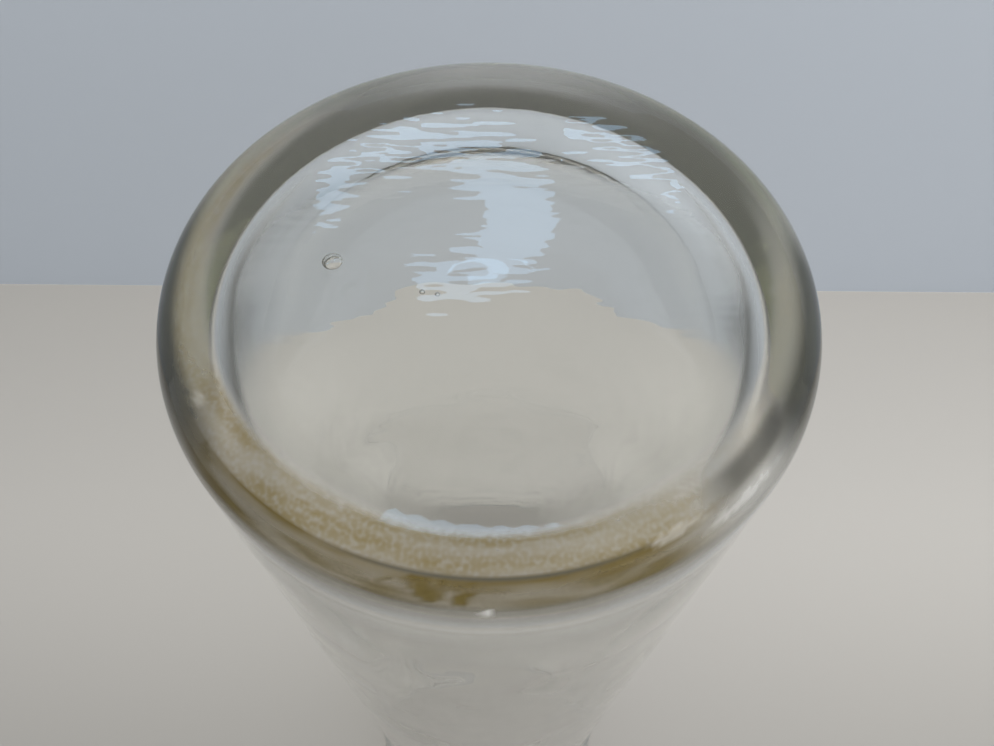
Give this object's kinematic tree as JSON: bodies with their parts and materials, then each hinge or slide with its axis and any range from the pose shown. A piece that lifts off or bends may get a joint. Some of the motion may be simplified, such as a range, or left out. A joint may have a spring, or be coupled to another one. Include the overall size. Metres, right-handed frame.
{
  "type": "gas jar",
  "caption": "Tall straight-sided clear glass gas jar with a ground flat flange at its mouth and a thick rounded heel round a shallow pushed-up base; stored standing on its mouth.",
  "frame": {"origin": "centre of the mouth's ground face, which is the face that the jar stands on as pictured", "axes": "+Z along the jar's axis from the mouth towards the closed base; X and Y are free, because the jar is round"},
  "size_m": [0.114, 0.114, 0.381],
  "materials": {
    "glass": "clear blown glass with a faint grey-green tint, fire-polished, ground matt on the mouth's face and worn on the base's ring"
  },
  "bodies": {
    "root": {"jar": "glass"}
  },
  "joints": []
}
